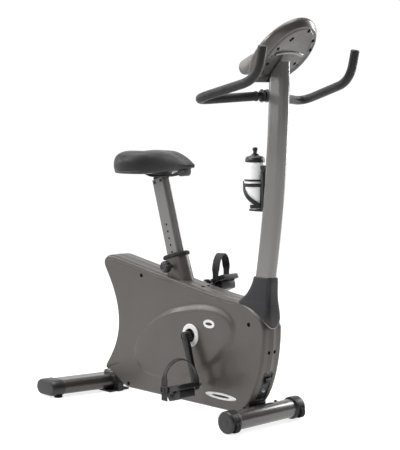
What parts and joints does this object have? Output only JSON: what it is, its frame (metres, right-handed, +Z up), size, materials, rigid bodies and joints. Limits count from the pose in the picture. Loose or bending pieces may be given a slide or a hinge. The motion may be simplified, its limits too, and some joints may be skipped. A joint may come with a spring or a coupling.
{
  "type": "exercise bike",
  "caption": "Upright exercise bike with an enclosed belt drive, height-adjustable saddle, strapped pedals, curved mast, bullhorn bar, round console and bottle cage.",
  "frame": {"origin": "floor level, under the middle of the bounding box", "axes": "+X to the front of the bike, +Y to the rider's left, +Z up"},
  "size_m": [1.0944, 0.5292, 1.3087],
  "materials": {
    "painted_tube": "satin metallic grey",
    "painted_black": "satin black",
    "casing": "metallic grey-brown moulded plastic",
    "console_casing": "metallic grey moulded plastic",
    "black_plastic": "fine grain",
    "white_plastic": "satin",
    "red_plastic": "satin",
    "steel": "machined",
    "iron": "machined rim",
    "rubber": "matt",
    "vinyl": "grained black vinyl",
    "bottle_body": "translucent white",
    "lens": "dark display window"
  },
  "bodies": {
    "base": {"main_frame": "painted_black", "rear_stabilizer": "painted_tube", "rear_cap_right": "black_plastic", "rear_cap_left": "black_plastic", "rear_foot_right": "rubber", "rear_foot_left": "rubber", "front_stabilizer": "painted_tube", "front_cap_right": "black_plastic", "front_cap_left": "black_plastic", "right_shell": "casing", "left_shell": "casing", "crank_cover_right": "white_plastic", "crank_cover_left": "white_plastic", "power_panel": "black_plastic", "drive_belt": "rubber", "bottom_bracket_bearing_right": "steel", "bottom_bracket_bearing_left": "steel", "seat_sleeve": "casing", "sleeve_collar": "black_plastic", "mast": "painted_tube", "mast_boot": "black_plastic", "handlebar": "painted_tube", "grip_right": "rubber", "grip_left": "rubber", "handlebar_clamp": "black_plastic", "console_back": "console_casing", "console_front": "console_casing", "console_neck": "black_plastic", "display_lens": "lens", "bottle_cage": "black_plastic"},
    "transport_wheel_right": {"transport_wheel_right": "rubber"},
    "transport_wheel_left": {"transport_wheel_left": "rubber"},
    "seat": {"seat_post": "painted_tube", "saddle_clamp": "painted_black", "saddle_base": "black_plastic", "saddle_pad": "vinyl"},
    "adjust_knob": {"adjust_knob": "black_plastic"},
    "crankset": {"crank_axle": "steel", "drive_pulley": "black_plastic", "crank_arm_right": "painted_black", "crank_arm_left": "painted_black", "pedal_spindle_right": "steel", "pedal_spindle_left": "steel"},
    "pedal_right": {"pedal_right": "black_plastic", "pedal_strap_right": "rubber"},
    "pedal_left": {"pedal_left": "black_plastic", "pedal_strap_left": "rubber"},
    "flywheel": {"flywheel": "iron", "flywheel_pulley": "steel", "flywheel_axle": "steel"},
    "idler_arm": {"idler_arm": "steel"},
    "idler_wheel": {"idler_wheel": "black_plastic"},
    "magnet_carriage": {"magnet_carriage": "painted_black"},
    "bottle": {"bottle": "bottle_body", "bottle_cap": "black_plastic"},
    "bottle_valve": {"bottle_valve": "black_plastic"},
    "power_switch": {"power_switch": "black_plastic"},
    "up_key": {"up_key": "white_plastic"},
    "start_key": {"start_key": "red_plastic"},
    "down_key": {"down_key": "white_plastic"}
  },
  "joints": [
    {"name": "seat_height", "type": "slide", "parent": "base", "child": "seat", "axis": [-0.2924, 0, 0.9563], "range_m": [-0.1464, 0.0244]},
    {"name": "adjust_knob_pull", "type": "slide", "parent": "base", "child": "adjust_knob", "axis": [0, -1, 0], "range_m": [0, 0.012], "stiffness_N_per_m": 900},
    {"name": "crank_spin", "type": "hinge", "parent": "base", "child": "crankset", "pos_m": [0.048, 0, 0.268], "axis": [0, 1, 0], "continuous": true},
    {"name": "pedal_right_spin", "type": "hinge", "parent": "crankset", "child": "pedal_right", "pos_m": [0.11031, -0.15, 0.10983], "axis": [0, 1, 0], "continuous": true},
    {"name": "pedal_left_spin", "type": "hinge", "parent": "crankset", "child": "pedal_left", "pos_m": [-0.01431, 0.15, 0.42617], "axis": [0, 1, 0], "continuous": true},
    {"name": "flywheel_spin", "type": "hinge", "parent": "base", "child": "flywheel", "pos_m": [-0.157, 0, 0.19], "axis": [0, 1, 0], "continuous": true},
    {"name": "idler_arm_swing", "type": "hinge", "parent": "base", "child": "idler_arm", "pos_m": [-0.022, 0.01, 0.121], "axis": [0, 1, 0], "range_deg": [-6, 0], "stiffness_Nm_per_rad": 20},
    {"name": "idler_wheel_spin", "type": "hinge", "parent": "idler_arm", "child": "idler_wheel", "pos_m": [-0.072, 0.03, 0.1413], "axis": [0, 1, 0], "continuous": true},
    {"name": "magnet_swing", "type": "hinge", "parent": "base", "child": "magnet_carriage", "pos_m": [-0.29, -0.02, 0.188], "axis": [0, 1, 0], "range_deg": [-8, 0]},
    {"name": "transport_wheel_right_spin", "type": "hinge", "parent": "base", "child": "transport_wheel_right", "pos_m": [0.36, -0.152, 0.026], "axis": [0, 1, 0], "continuous": true},
    {"name": "transport_wheel_left_spin", "type": "hinge", "parent": "base", "child": "transport_wheel_left", "pos_m": [0.36, 0.152, 0.026], "axis": [0, 1, 0], "continuous": true},
    {"name": "bottle_lift", "type": "slide", "parent": "base", "child": "bottle", "axis": [0, 0, 1], "range_m": [0, 0.16]},
    {"name": "bottle_valve_pull", "type": "slide", "parent": "bottle", "child": "bottle_valve", "axis": [0, 0, 1], "range_m": [0, 0.006]},
    {"name": "power_switch_rock", "type": "hinge", "parent": "base", "child": "power_switch", "pos_m": [0.353, 0.003, 0.153], "axis": [0, 1, 0], "range_deg": [0, 12]},
    {"name": "up_key_press", "type": "slide", "parent": "base", "child": "up_key", "axis": [-0.3811, 0, 0.9245], "range_m": [-0.0008, 0], "stiffness_N_per_m": 700},
    {"name": "start_key_press", "type": "slide", "parent": "base", "child": "start_key", "axis": [-0.3811, 0, 0.9245], "range_m": [-0.0008, 0], "stiffness_N_per_m": 700},
    {"name": "down_key_press", "type": "slide", "parent": "base", "child": "down_key", "axis": [-0.3811, 0, 0.9245], "range_m": [-0.0008, 0], "stiffness_N_per_m": 700}
  ],
  "couplings": [
    {"joint": "flywheel_spin", "follows": "crank_spin", "ratio": 6.5},
    {"joint": "idler_wheel_spin", "follows": "crank_spin", "ratio": -5}
  ]
}
